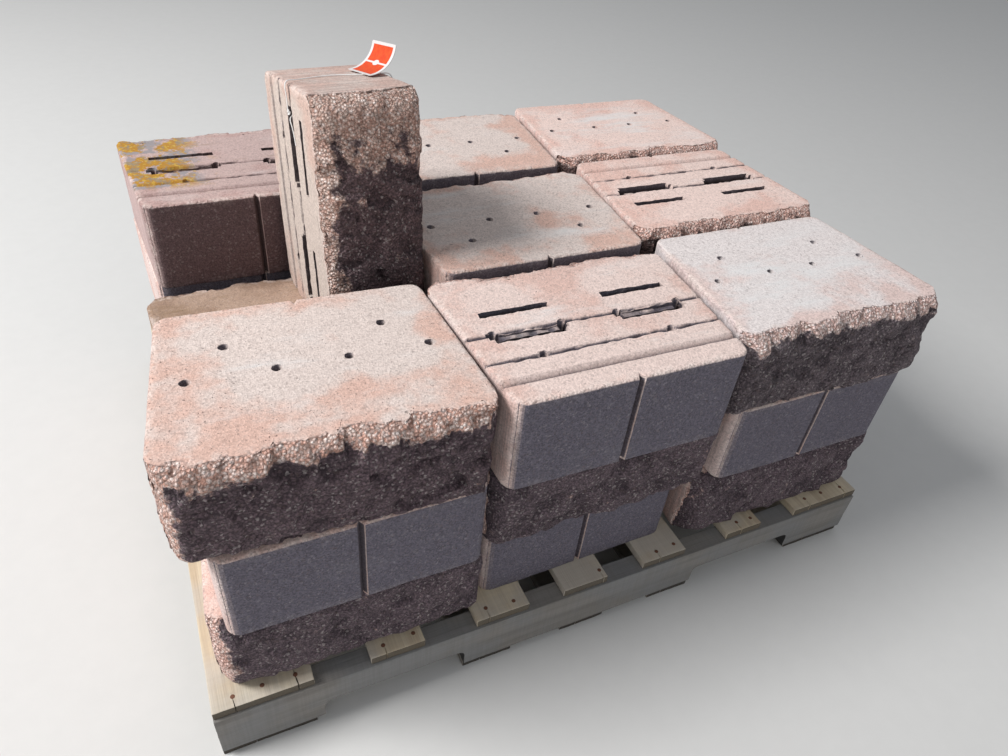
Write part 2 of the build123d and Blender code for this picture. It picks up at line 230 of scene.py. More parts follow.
def block_skin(seed, pitch, grooved, depth, rise, leftward, brows_painted_light):
    """A block's whole surface, without its holes and slots, and its marks.

    Rise and leftward are the frame's up and left in the block's own axes, and brows are how far
    the rough face's pale band, which is partly painted light, reaches from those two edges.
    """
    groove_lines = [step * REAR_GROOVE_WIDTH / 6 for step in (-4, -3, -2, -1, 0, 1, 2, 3, 4)]
    half = SPLIT_FACE_WIDTH / 2
    xs = spaced(2 * half, pitch, [half + line for line in groove_lines]) - half
    pin_lines = []
    if grooved:
        for row in (FOUR_ROW_FROM_REAR, TWO_ROW_FROM_REAR):
            pin_lines += [row + step * PIN_GROOVE_WIDTH / 2 for step in (-2, -1, -0.5, 0, 0.5, 1, 2)]
        wide = STEP_GROOVE_WIDTH / 2
        pin_lines += [STEP_GROOVE_FROM_REAR + step * wide / 2 for step in (-3, -2, -1, 0, 1, 2, 3)]
    ys = spaced(depth, pitch, pin_lines)
    zs = spaced(BLOCK_HEIGHT, pitch)
    grid, faces = box_grid(xs, ys, zs)
    low, high = np.array([-half, 0, 0]), np.array([half, depth, BLOCK_HEIGHT])
    gaps = np.sort(np.minimum(grid - low, high - grid), axis=1)
    arris = np.exp(-gaps[:, 1] / 9)
    ragged = grid + 7919.0 * seed
    drop, inward = ((grid @ way).max() - grid @ way for way in (rise, leftward))
    radius = 1.6 + 1.0 * noise(ragged, 9, seed) + 0.8 * noise(ragged, 30, seed)
    radius += 9 * np.clip(noise(ragged, 42, seed + 1) - 0.5, 0, 1)
    radius += WORN_ARRIS * np.clip(1 - drop / 14, 0, 1)
    near_split = smooth((grid[:, 1] - depth + 60) / 60)
    points = soften(grid, low, high, np.clip(radius, 0.5, 6.8))

    # Rounded rear corners: squares of the grid turned into quarter circles
    reach = REAR_CORNER_RADIUS
    away_x = np.abs(points[:, 0]) - (half - reach)
    away_y = reach - points[:, 1]
    corner = (away_x > 0) & (away_y > 0)
    turned = np.maximum(away_x, away_y) / np.maximum(np.hypot(away_x, away_y), 1e-9)
    points[:, 0] = np.where(corner, np.sign(points[:, 0]) * (half - reach + away_x * turned), points[:, 0])
    points[:, 1] = np.where(corner, reach - away_y * turned, points[:, 1])

    # The split face: broken back at its corners, top and foot, and rough all over
    across, level = np.abs(grid[:, 0]), grid[:, 2]
    from_edge = np.minimum(level, BLOCK_HEIGHT - level)
    wander = 5 * noise(ragged, 60, seed + 2)
    at_edge = SPLIT_EDGE_SETBACK * np.clip(1 - (from_edge + wander * 0.5) / SPLIT_EDGE_HEIGHT, 0, 1.2) ** 1.7
    beyond = (across - half + SPLIT_CORNER_WIDTH + wander) / SPLIT_CORNER_WIDTH
    at_corner = SPLIT_CORNER_SETBACK * np.clip(beyond, 0, 1.15) ** 1.8
    coarse = 4.0 * noise(ragged, 95, seed + 3) + 7.5 * facets(ragged, 46, seed + 10)
    fine = 4.0 * facets(ragged, 19, seed + 20) + 2.0 * facets(ragged, 9, seed + 30) + noise(ragged, 6, seed + 4)
    setback = 5.5 + np.hypot(at_edge, at_corner) + coarse + fine
    setback = 0.4 + 2.5 * np.logaddexp(0, setback / 2.5)
    points[:, 1] -= setback * near_split
    rock = smooth((grid[:, 1] - depth + 4.5) / 4.5)
    sideways = near_split * rock * arris
    points[:, 0] -= np.sign(points[:, 0]) * sideways * (1.5 + 1.5 * noise(ragged, 12, seed + 5))

    # The groove down the rear face
    into = np.clip(1 - np.abs(points[:, 0]) / (REAR_GROOVE_WIDTH / 2), 0, 1)
    points[:, 1] += REAR_GROOVE_DEPTH * into * np.clip(1 - grid[:, 1] / 40, 0, 1)

    # Grooves of the slotted face
    if grooved:
        top = (grid[:, 2] > BLOCK_HEIGHT - 5) * (1 - rock)
        stray = 1.3 * noise(ragged, 14, seed + 6)
        for row in (FOUR_ROW_FROM_REAR, TWO_ROW_FROM_REAR):
            into = np.clip(1.25 - np.abs(grid[:, 1] - row + stray) / (PIN_GROOVE_WIDTH / 2), 0, 1)
            uneven = 1 + 0.7 * noise(ragged, 11, seed + 7)
            points[:, 2] -= top * PIN_GROOVE_DEPTH * into * uneven
        into = np.clip(1 - np.abs(grid[:, 1] - STEP_GROOVE_FROM_REAR) / (STEP_GROOVE_WIDTH / 2), 0, 1)
        points[:, 2] -= top * STEP_GROOVE_DEPTH * smooth(into)

    # Cast faces: a little uneven
    points += 0.22 * (1 - rock)[:, None] * np.stack([noise(ragged, 10, seed + i) for i in (7, 8, 9)], axis=1)
    points[:, 1] += REAR_INSET * np.clip(1 - grid[:, 1] / REAR_CORNER_RADIUS, 0, 1)
    points[:, 0] *= (half_width(points[:, 1]) - SIDE_INSET) / half

    # What the material reads: rough face, arrises, the broken band along the edges (partly painted light),
    # painted shade in the rough face's hollows, rim
    uneven = 1 + 0.45 * noise(ragged, 30, seed + 8)
    brow = np.maximum(*(1.3 - away / (brow * uneven) for away, brow in zip((drop, inward), brows_painted_light)))
    brow = rock * np.clip(brow, 0, 1)
    # Painted shade, deeper in the rough face's hollows
    cave = np.clip(0.5 + (fine + 0.35 * coarse) / 7, 0, 1) * rock
    rim = np.exp(-gaps[:, 1] / 38)
    side = smooth((3 - half + np.abs(grid[:, 0])) / 3)
    marks = {"rock": rock, "arris": arris, "brow": brow, "cave": cave, "rim": rim, "side": side}
    return points, faces, marks


def ragged_box(low, high, stray, seed, pitch=4.0):
    """A box with uneven walls, to cut a slot with."""
    low, high = np.array(low, float), np.array(high, float)
    places = [np.linspace(a, b, max(2, round((b - a) / pitch) + 1)) for a, b in zip(low, high)]
    points, faces = box_grid(*places)
    lump = max(7, 4 * stray)
    shift = np.stack([noise(points + 31.7 * seed, lump, seed + i) for i in range(3)], axis=1)
    return points + stray * shift, faces


def pin_cutter(x, y, seed, bottom, top):
    """A slightly uneven round pin with a flared rim at each end, to cut a hole with."""
    sides = 20
    levels = (
        (bottom, 1.3), (bottom + 2, 1.22), (bottom + 4, 1.0), (top - 4.5, 1.0), (top - 2.2, 1.18), (top, 1.35),
    )
    around = np.arange(sides) * 2 * pi / sides
    rings = []
    for i, (level, flare) in enumerate(levels):
        ring = np.stack([np.cos(around), np.sin(around), np.full(sides, float(level))], axis=1)
        uneven = 1 + (flare - 1 + 0.06) * noise(ring * 2.2 + 17.3 * seed + i, 1.0, seed)
        ring[:, :2] *= (PIN_HOLE_RADIUS * (flare * 0.5 + 0.5) * uneven)[:, None]
        rings.append(ring + (x, y, 0))
    faces = []
    for i, j in product(range(len(levels) - 1), range(sides)):
        a, b = i * sides + j, i * sides + (j + 1) % sides
        faces.append([a, b, b + sides, a + sides])
    caps = [list(range(sides))[::-1], [len(rings) * sides - sides + j for j in range(sides)]]
    return np.concatenate(rings), faces + caps


def cutters(slots, seed):
    """What is cut from a block: its pin holes and, through a slotted face, its slots."""
    places = [(x, FOUR_ROW_FROM_REAR) for x in FOUR_ROW_ACROSS]
    places += [(x, TWO_ROW_FROM_REAR) for x in TWO_ROW_ACROSS]
    shapes = [[pin_cutter(x, y, seed + i, -3, BLOCK_HEIGHT + 1)] for i, (x, y) in enumerate(places)]
    if not slots:
        return shapes
    top, floor = BLOCK_HEIGHT + 3, BLOCK_HEIGHT - SLOT_DEPTH
    for side, row in product((-1, 1), (FAR_SLOT_FROM_REAR, NEAR_SLOT_FROM_REAR)):
        ends = sorted((side * SLOT_INNER_END, side * SLOT_OUTER_END))
        low = (ends[0], row - SLOT_WIDTH / 2, floor)
        high = (ends[1], row + SLOT_WIDTH / 2, top)
        seed += 11
        shapes.append([ragged_box(low, high, 1.7, seed)])
        if row == NEAR_SLOT_FROM_REAR:
            low = (ends[0] + 6, row - 3, BLOCK_HEIGHT - 7)
            high = (ends[1] - 6, row + 14, top)
            shapes.append([ragged_box(low, high, 2.4, seed + 5, 3.0)])
    # The thin wall between a near slot and the pin holes beside it is broken out
    for x in FOUR_ROW_ACROSS:
        seed += 7
        low = (x - 8, NEAR_SLOT_FROM_REAR + 2, BLOCK_HEIGHT - 15)
        high = (x + 8, FOUR_ROW_FROM_REAR + 2, top)
        shapes.append([ragged_box(low, high, 2.6, seed, 2.5)])
    return shapes


def cut(mesh, shapes):
    """The mesh with each shape taken out of it."""
    body = bpy.data.objects.new("body", mesh)
    bpy.context.collection.objects.link(body)
    tools = []
    for parts in shapes:
        for points, faces in parts:
            tool_mesh = bpy.data.meshes.new("tool")
            tool_mesh.from_pydata((points * MM).tolist(), [], [list(face) for face in faces])
            tool = bpy.data.objects.new("tool", tool_mesh)
            bpy.context.collection.objects.link(tool)
            step = body.modifiers.new("cut", "BOOLEAN")
            step.operation, step.solver, step.object = "DIFFERENCE", "MANIFOLD", tool
            tools.append(tool)
    graph = bpy.context.evaluated_depsgraph_get()
    result = bpy.data.meshes.new_from_object(body.evaluated_get(graph))
    for thing in [body, *tools]:
        bpy.data.objects.remove(thing)
    return result


def block_axes(node, upward):
    """Where a block lies: its own axes and origin in the frame, and its depth in millimetres."""
    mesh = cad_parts[node].data
    corners = np.zeros(len(mesh.vertices) * 3)
    mesh.vertices.foreach_get("co", corners)
    corners = corners.reshape(-1, 3)
    normals, areas = np.zeros(len(mesh.polygons) * 3), np.zeros(len(mesh.polygons))
    mesh.polygons.foreach_get("normal", normals)
    mesh.polygons.foreach_get("area", areas)
    normals = normals.reshape(-1, 3)
    facing = normals @ np.array(upward) > 0.95
    up = (normals[facing] * areas[facing, None]).sum(axis=0)
    up /= np.linalg.norm(up)
    upright = np.abs(normals @ up) < 0.01
    groups = {}
    for normal, area in zip(normals[upright], areas[upright]):
        key = tuple(np.round(normal, 2))
        groups[key] = groups.get(key, 0) + area * normal
    rear = max(groups.values(), key=np.linalg.norm)
    rear = rear - up * (rear @ up)
    rear /= np.linalg.norm(rear)
    across = np.cross(-rear, up)
    along = corners @ -rear
    back = corners[along < along.min() + 1e-4] @ across
    middle = (back.min() + back.max()) / 2
    origin = across * middle - rear * along.min() + up * (corners @ up).min()
    place = Matrix.Identity(4)
    for column, axis in enumerate((across, -rear, up, origin)):
        for row in range(3):
            place[row][column] = axis[row]
    return place, (along.max() - along.min()) / MM


class Graph:
    """A material's nodes. An input is a number, a colour or another node's output."""

    def __init__(self, name, roughness):
        self.material = bpy.data.materials.new(name)
        self.material.use_nodes = True
        self.tree = self.material.node_tree
        self.shader = self.tree.nodes["Principled BSDF"]
        self.shader.inputs["Roughness"].default_value = roughness

    def feed(self, socket, value):
        if isinstance(value, bpy.types.NodeSocket):
            self.tree.links.new(value, socket)
        else:
            socket.default_value = value

    def node(self, kind, settings=(), **inputs):
        made = self.tree.nodes.new("ShaderNode" + kind)
        for key, value in dict(settings).items():
            setattr(made, key, value)
        for key, value in inputs.items():
            self.feed(made.inputs[key], value)
        return made

    def place(self, seed, stretch=(1, 1, 1)):
        """The piece's own coordinates in metres, shifted so that no two pieces look alike."""
        own = self.node("TexCoord").outputs["Object"]
        shift = (seed * 0.731, seed * 1.37, seed * 2.113)
        return self.node("Mapping", Vector=own, Location=shift, Scale=stretch).outputs["Vector"]

    def mix(self, amount, one, other, blend="MIX"):
        made = self.tree.nodes.new("ShaderNodeMix")
        made.data_type, made.blend_type, made.clamp_factor = "RGBA", blend, True
        for socket, value in ((made.inputs[0], amount), (made.inputs[6], one), (made.inputs[7], other)):
            self.feed(socket, (*value, 1) if isinstance(value, tuple) and len(value) == 3 else value)
        return made.outputs[2]

    def math(self, operation, one, other=0.0):
        made = self.tree.nodes.new("ShaderNodeMath")
        made.operation = operation
        self.feed(made.inputs[0], one)
        self.feed(made.inputs[1], other)
        return made.outputs[0]

    def ramp(self, value, low, high, start=0.0, end=1.0):
        made = self.node("MapRange", {"interpolation_type": "SMOOTHSTEP"}, Value=value)
        for socket, number in zip(list(made.inputs)[1:5], (low, high, start, end)):
            socket.default_value = number
        return made.outputs["Result"]

    def noise(self, at, scale, detail=3.0, rough=0.55):
        return self.node("TexNoise", Vector=at, Scale=scale, Detail=detail, Roughness=rough).outputs["Fac"]

    def cells(self, at, scale, output="Distance"):
        return self.node("TexVoronoi", Vector=at, Scale=scale).outputs[output]

    def mark(self, name):
        return self.node("Attribute", {"attribute_name": name}).outputs["Fac"]

    def part(self, vector, axis):
        return self.node("SeparateXYZ", Vector=vector).outputs[axis]

    def finish(self, colour, height, depth):
        self.feed(self.shader.inputs["Base Color"], colour)
        bump = self.node("Bump", Height=height, Distance=depth, Strength=1.0)
        self.feed(self.shader.inputs["Normal"], bump.outputs["Normal"])
        return self.material


# Finish of a block: colours of the cast faces, darker as painted shade where they turn from the key
# and lit and bleached on top and on the left (painted light), of the pinker blotches and of the
# rough face (partly darkened as painted shade), then how much white salt it carries and how much dirt
PALE, WARM, GREY, SALMON, MAUVE, TAN, SANDY = (
    ((0.140, 0.120, 0.142), (0.73, 0.62, 0.565), (0.70, 0.455, 0.37), (0.148, 0.104, 0.118)),
    ((0.130, 0.118, 0.148), (0.80, 0.64, 0.58), (0.72, 0.49, 0.42), (0.150, 0.112, 0.128)),
    ((0.142, 0.128, 0.150), (0.80, 0.73, 0.705), (0.76, 0.58, 0.53), (0.160, 0.130, 0.142)),
    ((0.145, 0.116, 0.132), (0.86, 0.67, 0.60), (0.80, 0.53, 0.45), (0.200, 0.128, 0.112)),
    ((0.112, 0.070, 0.072), (0.55, 0.405, 0.375), (0.50, 0.33, 0.30), (0.160, 0.102, 0.102)),
    ((0.24, 0.18, 0.16), (0.46, 0.325, 0.245), (0.36, 0.24, 0.17), (0.24, 0.165, 0.15)),
    ((0.140, 0.115, 0.120), (0.63, 0.53, 0.465), (0.60, 0.42, 0.35), (0.145, 0.100, 0.105)),
)
LOOKS = {
    "block_top_front_left": (PALE, 0.30, 0.0),
    "block_top_front_centre": (WARM, 0.22, 0.1),
    "block_top_front_right": (GREY, 0.55, 0.0),
    "block_top_mid_centre": (PALE, 0.40, 0.0),
    "block_top_mid_right": (SALMON, 0.10, 0.08),
    "block_top_back_left": (MAUVE, 0.05, 0.3),
    "block_top_back_centre": (PALE, 0.25, 0.0),
    "block_top_back_right": (SALMON, 0.55, 0.0),
    "block_standing": (SANDY, 0.10, 0.0),
    "block_middle_mid_left": (TAN, 0.0, 0.45),
}
SALT = (0.80, 0.79, 0.78)
DIRT = (0.30, 0.20, 0.12)
CREAM = (0.88, 0.80, 0.74)
# Paler arris colour: partly wear, partly painted highlight
EDGE = (0.80, 0.69, 0.63)


def concrete(name, seed):
    """Dry-cast concrete: cast faces with sand grain and pits, a rough face with its stones."""
    (shaded, bleached_and_lit, pink, rough), salt, dirt = LOOKS.get(name, (WARM, 0.08, 0.1))
    graph = Graph(name.replace("block_", "concrete_"), 0.92)
    at = graph.place(seed)
    rock, arris, hollow, brow, cave, rim, side = (
        graph.mark(label) for label in ("rock", "arris", "hollow", "brow", "cave", "rim", "side"))
    # Painted light and shade: faces turned up or to the left, toward the key, take the lit and bleached colour
    # and the pinker blotches, the other faces the darker shaded colour; holes and slots stay dark
    normal = graph.node("NewGeometry").outputs["True Normal"]
    level = graph.part(normal, "Z")
    up = graph.ramp(level, 0.25, 0.9)
    leftward = graph.math("MULTIPLY", graph.part(normal, "X"), -0.8)
    bleach_and_painted_light = graph.ramp(graph.math("MAXIMUM", level, leftward), 0.25, 0.85)
    bleach_and_painted_light = graph.math("MULTIPLY", bleach_and_painted_light, graph.ramp(hollow, 0.5, 0.1))
    blotch = graph.noise(at, 8.0, 4.0, 0.6)
    mottle = graph.noise(at, 55.0, 5.0, 0.68)
    fine = graph.node("TexVoronoi", Vector=at, Scale=480.0)
    colour = graph.mix(bleach_and_painted_light, shaded, bleached_and_lit)
    pinker = graph.ramp(graph.math("ADD", blotch, graph.math("MULTIPLY", rim, 0.16)), 0.52, 0.68, 0.0, 0.9)
    colour = graph.mix(graph.math("MULTIPLY", pinker, bleach_and_painted_light), colour, pink)
    scrape = graph.noise(graph.place(seed + 6, (30.0, 190.0, 5.0)), 1.0, 4.0, 0.6)
    colour = graph.mix(side, colour, graph.mix(1.0, colour, graph.mix(
        graph.ramp(scrape, 0.36, 0.64), (0.80, 0.79, 0.81), (1.07, 1.07, 1.09)), "MULTIPLY"))
    # Paler worn arrises, far stronger on the lit faces: partly wear, partly painted highlight
    edge = graph.math("MULTIPLY", graph.ramp(arris, 0.08, 0.75), graph.ramp(mottle, 0.42, 0.58))
    edge = graph.math("MULTIPLY", edge, graph.ramp(bleach_and_painted_light, 0.0, 1.0, 0.08, 0.6))
    colour = graph.mix(edge, colour, EDGE)

    # The rough face: darker away from its top and left edges, where a paler band of grains is partly
    # painted light, and painted shade in its hollows and between its grains
    pebbles = graph.node("TexVoronoi", Vector=at, Scale=250.0)
    tint, away = pebbles.outputs["Color"], pebbles.outputs["Distance"]
    broken = graph.mix(graph.ramp(blotch, 0.35, 0.65), rough, tuple(0.84 * c for c in rough))
    # Painted shade in the hollows of the rough face
    broken = graph.mix(1.0, broken, graph.mix(
        graph.ramp(cave, 0.35, 0.95), (1.05, 1.05, 1.05), (0.62, 0.60, 0.63)), "MULTIPLY")
    # The pale band along the rough face's edges, partly painted light: lit grains in the bleached, pink and
    # cream colours
    lit = graph.math("ADD", brow, graph.math("MULTIPLY", graph.math("SUBTRACT", mottle, 0.5), 1.7))
    lit = graph.math("SUBTRACT", lit, graph.math("MULTIPLY", cave, 0.35))
    pale = graph.mix(graph.ramp(graph.part(tint, "X"), 0.0, 0.8), bleached_and_lit, pink)
    pale = graph.mix(graph.ramp(graph.part(tint, "Y"), 0.75, 0.95, 0.0, 0.8), pale, CREAM)
    lit = graph.ramp(lit, 0.12, 0.42, 0.0, 0.95)
    broken = graph.mix(lit, broken, pale)
    # Painted light and shade on the grains: pale tops, dark gaps between them
    gaps = graph.mix(lit, (0.72, 0.70, 0.71), (0.74, 0.62, 0.58))
    broken = graph.mix(1.0, broken, graph.mix(graph.ramp(away, 0.28, 0.62), (1.35, 1.3, 1.3), gaps), "MULTIPLY")
    colour = graph.mix(rock, colour, broken)

    # Single stones and sand grains
    shade = graph.part(graph.cells(at, 330.0, "Color"), "X")
    colour = graph.mix(graph.math("MULTIPLY", graph.ramp(shade, 0.91, 0.95), graph.ramp(rock, 0, 1, 0.12, 0.4)),
                       colour, (0.58, 0.52, 0.50))
    colour = graph.mix(graph.math("MULTIPLY", graph.ramp(shade, 0.10, 0.05), graph.ramp(rock, 0, 1, 0.22, 0.35)),
                       colour, (0.17, 0.12, 0.11))
    grains = graph.part(fine.outputs["Color"], "Y")
    darker = graph.mix(bleach_and_painted_light, (0.68, 0.67, 0.67), (0.84, 0.825, 0.825))
    lighter = graph.mix(bleach_and_painted_light, (1.34, 1.34, 1.35), (1.13, 1.13, 1.135))
    colour = graph.mix(1.0, colour, graph.mix(grains, darker, lighter), "MULTIPLY")

    # White salt on the faces that the weather reaches
    streaks = graph.noise(graph.place(seed + 3, (5.0, 18.0, 9.0)), 1.0, 5.0, 0.64)
    bare = graph.math("SUBTRACT", 1.0, graph.math("MAXIMUM", graph.math("MULTIPLY", rock, 0.75), rim))
    white = graph.math("MULTIPLY", graph.ramp(streaks, 0.61 - 0.3 * salt, 0.90 - 0.3 * salt), bare)
    white = graph.math("MULTIPLY", white, graph.ramp(up, 0.0, 1.0, 0.10, 0.85))
    colour = graph.mix(white, colour, SALT)

    # Dirt on top, painted shade in the holes, slots and grooves, and pits
    dust = graph.noise(graph.place(seed + 8, (7.0, 38.0, 30.0)), 1.0, 5.0, 0.7)
    dusty = graph.math("MULTIPLY", graph.ramp(dust, 0.72 - 0.45 * dirt, 0.9 - 0.45 * dirt), up)
    colour = graph.mix(graph.math("MULTIPLY", dusty, 0.85), colour, DIRT)
    pits = graph.ramp(graph.noise(at, 330.0, 2.0), 0.67, 0.72)
    pits = graph.math("MULTIPLY", pits, graph.ramp(blotch, 0.40, 0.55, 0.35, 1.0))
    colour = graph.mix(graph.math("MULTIPLY", pits, 0.75), colour, (0.13, 0.08, 0.07))
    # Painted shade, darker deeper in the holes, slots and grooves
    colour = graph.mix(graph.math("MULTIPLY", hollow, 0.88), colour, (0.05, 0.03, 0.028))
    if name == "block_top_back_left":
        colour = lichen(graph, colour, seed)

    # Relief
    grain = graph.math("ADD", fine.outputs["Distance"], graph.noise(at, 900.0, 2.0))
    cast = graph.math("SUBTRACT", graph.math("MULTIPLY", grain, 0.24), graph.math("MULTIPLY", pits, 0.8))
    stony = graph.math("SUBTRACT", graph.noise(at, 170.0, 3.0, 0.7), graph.math("MULTIPLY", away, 1.1))
    stony = graph.math("SUBTRACT", stony, graph.math("MULTIPLY", fine.outputs["Distance"], 0.3))
    height = graph.node("Mix", Factor=graph.math("MAXIMUM", rock, graph.ramp(arris, 0.3, 0.9, 0.0, 0.45)))
    graph.feed(height.inputs[2], cast)
    graph.feed(height.inputs[3], graph.math("MULTIPLY", stony, 2.6))
    return graph.finish(colour, height.outputs[0], 0.0016)


def lichen(graph, colour, seed):
    """Yellow and orange lichen over one end of the block's top, grey where it has died back."""
    at = graph.place(seed + 9)
    own = graph.node("TexCoord").outputs["Object"]
    patch = graph.noise(at, 24.0, 6.0, 0.68)
    end = graph.ramp(graph.part(own, "X"), -0.02, -0.12)
    back = graph.ramp(graph.part(own, "Y"), 0.05, 0.085)
    top = graph.ramp(graph.part(own, "Z"), 0.144, 0.150)
    reach = graph.math("MULTIPLY", graph.math("MULTIPLY", end, back), top)
    spread = graph.math("ADD", patch, graph.math("MULTIPLY", reach, 0.07))
    cover = graph.math("MULTIPLY", graph.ramp(spread, 0.535, 0.575), reach)
    crust = graph.math("MULTIPLY", graph.ramp(graph.noise(at, 38.0, 5.0, 0.65), 0.47, 0.53), graph.ramp(reach, 0.3, 0.8))
    colour = graph.mix(graph.math("MULTIPLY", crust, 0.8), colour, (0.285, 0.275, 0.29))
    dead = graph.ramp(graph.noise(at, 45.0, 5.0, 0.7), 0.50, 0.58)
    fine = graph.noise(at, 150.0, 4.0)
    gold = graph.mix(fine, (0.50, 0.27, 0.03), (0.42, 0.17, 0.02))
    gold = graph.mix(graph.ramp(fine, 0.5, 0.62), gold, (0.58, 0.38, 0.06))
    gold = graph.mix(graph.math("MULTIPLY", dead, 0.75), gold, (0.27, 0.235, 0.19))
    return graph.mix(cover, colour, gold)


def plain_material(name, colour, roughness):
    """One colour with a slight unevenness."""
    graph = Graph(name, roughness)
    at = graph.place(1)
    shade = graph.mix(graph.noise(at, 30.0), tuple(0.95 * c for c in colour), colour)
    return graph.finish(shade, graph.noise(at, 400.0), 0.0001)


def wood(name, seed, along, tone, saw_marks):
    """Weathered softwood: grain along the piece, grey in places, saw marks across, and dark end grain,
    partly its own colour and partly painted shade.
    """
    graph = Graph(name, 0.85)
    stretch = tuple(1.6 if axis == along else 55.0 for axis in range(3))
    at = graph.place(seed, stretch)
    fine = graph.place(seed + 5, tuple(9.0 if axis == along else 520.0 for axis in range(3)))
    rings = graph.noise(at, 1.0, 6.0, 0.62)
    fibres = graph.noise(fine, 1.0, 3.0)
    patches = graph.noise(graph.place(seed + 2), 7.0, 5.0, 0.6)
    light, dark, grey = tone
    colour = graph.mix(graph.ramp(rings, 0.40, 0.66, 0.0, 0.8), light, dark)
    colour = graph.mix(graph.ramp(patches, 0.38, 0.60, 0.0, 0.85), colour, grey)
    colour = graph.mix(1.0, colour, graph.mix(fibres, (0.80, 0.79, 0.78), (1.14, 1.14, 1.14)), "MULTIPLY")
    stain = graph.ramp(graph.noise(graph.place(seed + 7, stretch), 0.5, 5.0, 0.7), 0.64, 0.74)
    colour = graph.mix(graph.math("MULTIPLY", stain, 0.45), colour, tuple(0.4 * c for c in dark))
    marks = graph.place(seed, tuple(260.0 if axis == along else 9.0 for axis in range(3)))
    kerf = graph.noise(marks, 1.0, 2.0, 0.5)
    colour = graph.mix(graph.math("MULTIPLY", graph.ramp(kerf, 0.56, 0.40), saw_marks), colour, tuple(0.6 * c for c in dark))
    # End faces darkened: partly the end grain's own colour, partly painted shade
    facing = graph.part(graph.node("NewGeometry").outputs["True Normal"], "XYZ"[along])
    end_grain_and_painted_shade = graph.ramp(graph.math("ABSOLUTE", facing), 0.6, 0.85, 0.0, 0.92)
    pores = graph.noise(graph.place(seed + 4), 420.0, 3.0)
    colour = graph.mix(end_grain_and_painted_shade, colour, graph.mix(pores, tuple(0.08 * c for c in dark), tuple(0.22 * c for c in dark)))
    height = graph.math("ADD", graph.math("MULTIPLY", fibres, 0.5), graph.math("MULTIPLY", rings, 0.6))
    height = graph.math("ADD", height, graph.math("MULTIPLY", kerf, saw_marks))
    return graph.finish(colour, height, 0.0011)


BLOCKS = {
    "block_top_front_left": (DOWN, 4.1, True),
    "block_top_front_centre": (UP, 4.6, True),
    "block_top_front_right": (DOWN, 4.6, True),
    "block_top_mid_centre": (DOWN, 6.8, True),
    "block_top_mid_right": (UP, 5.4, True),
    "block_top_back_left": (UP, 5.4, True),
    "block_top_back_centre": (DOWN, 6.8, True),
    "block_top_back_right": (DOWN, 6.8, True),
    "block_standing": (LEFT, 4.4, True),
    "block_middle_mid_left": (UP, 8.5, True),
}


def mark_hollows(mesh, open_faced):
    """Marks painted shade by how deep each point lies in a slot or a hole, from 0 at the face to 1, and in the
    grooves.
    """
    points = np.zeros(len(mesh.vertices) * 3)
    mesh.vertices.foreach_get("co", points)
    x, y, z = points.reshape(-1, 3).T / MM
    inside = np.zeros(len(z), bool)
    places = [(hole, FOUR_ROW_FROM_REAR) for hole in FOUR_ROW_ACROSS]
    places += [(hole, TWO_ROW_FROM_REAR) for hole in TWO_ROW_ACROSS]
    for hole_x, hole_y in places:
        inside |= np.hypot(x - hole_x, y - hole_y) < PIN_HOLE_RADIUS * 1.1
    across = (np.abs(x) > SLOT_INNER_END - 3) & (np.abs(x) < SLOT_OUTER_END + 6)
    for row, reach in ((FAR_SLOT_FROM_REAR, 9), (NEAR_SLOT_FROM_REAR + 3, 13)):
        inside |= across & (np.abs(y - row) < reach)
    depth = np.minimum(z, BLOCK_HEIGHT - z)
    values = np.where(inside, smooth((depth - 2) / 12), 0) * open_faced
    on_top = (z > BLOCK_HEIGHT / 2) & (np.abs(x) < half_width(y) - 4) & ~inside
    for row in (FOUR_ROW_FROM_REAR, TWO_ROW_FROM_REAR):
        lined = on_top & (np.abs(y - row) < PIN_GROOVE_WIDTH / 2)
        values = np.where(lined, 0.6 * smooth((depth - 1) / 3) * open_faced, values)
    lined = on_top & (np.abs(y - STEP_GROOVE_FROM_REAR) < STEP_GROOVE_WIDTH / 2)
    values = np.where(lined, 0.34 * smooth((depth - 1.5) / 5) * open_faced, values)
    groove = (np.abs(x) < REAR_GROOVE_WIDTH / 2) & (y > 2) & (y < 12) & (depth > 3)
    values = np.where(groove, 0.55, values)
    mark = mesh.attributes.new("hollow", "FLOAT", "POINT")
    mark.data.foreach_set("value", values.astype(np.float32))


def make_block(name, seed):
    """One block in its place."""
    covered = (DOWN, 8.2 if "_front_" in name else 11.0, False)
    upward, pitch, open_faced = BLOCKS.get(name, covered)
    place, depth = block_axes(name, upward)
    rise, leftward = (np.round(place.to_3x3().transposed() @ Vector(way)) for way in (UP, LEFT))
    # The pale band, partly painted light, goes where the key reaches the rough face: the top edge on the top
    # layer, the left edge on the left-hand blocks
    brows_painted_light = [BROW_PAINTED_LIGHT_HEIGHT if "_top_" in name else NO_BROW_PAINTED_LIGHT, BROW_PAINTED_LIGHT_WIDTH if "_left" in name else NO_BROW_PAINTED_LIGHT]
    if name == "block_standing":
        brows_painted_light = [STANDING_BROW_PAINTED_LIGHT_HEIGHT, BROW_PAINTED_LIGHT_WIDTH]
    points, faces, marks = block_skin(seed, pitch, open_faced, depth, rise, leftward, brows_painted_light)
    mesh = to_mesh(name + "_look", points, faces, marks)
    if open_faced:
        mesh = cut(mesh, cutters(True, seed))
        mesh.name = name + "_look"
    mark_hollows(mesh, open_faced)
    mesh.shade_smooth()
    mesh.set_sharp_from_angle(angle=radians(SHARP_ANGLE))
    piece = bpy.data.objects.new(name + "_look", mesh)
    bpy.context.collection.objects.link(piece)
    piece.matrix_world = place
    mesh.materials.clear()
    mesh.materials.append(concrete(name, seed))
    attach(piece, "root")
    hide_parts(name)
    return piece


def own_box(node):
    """A CAD box node as a place and sizes in millimetres: its middle, and how large it is."""
    low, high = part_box(node)
    return (low + high) / 2, np.array(high - low) / MM


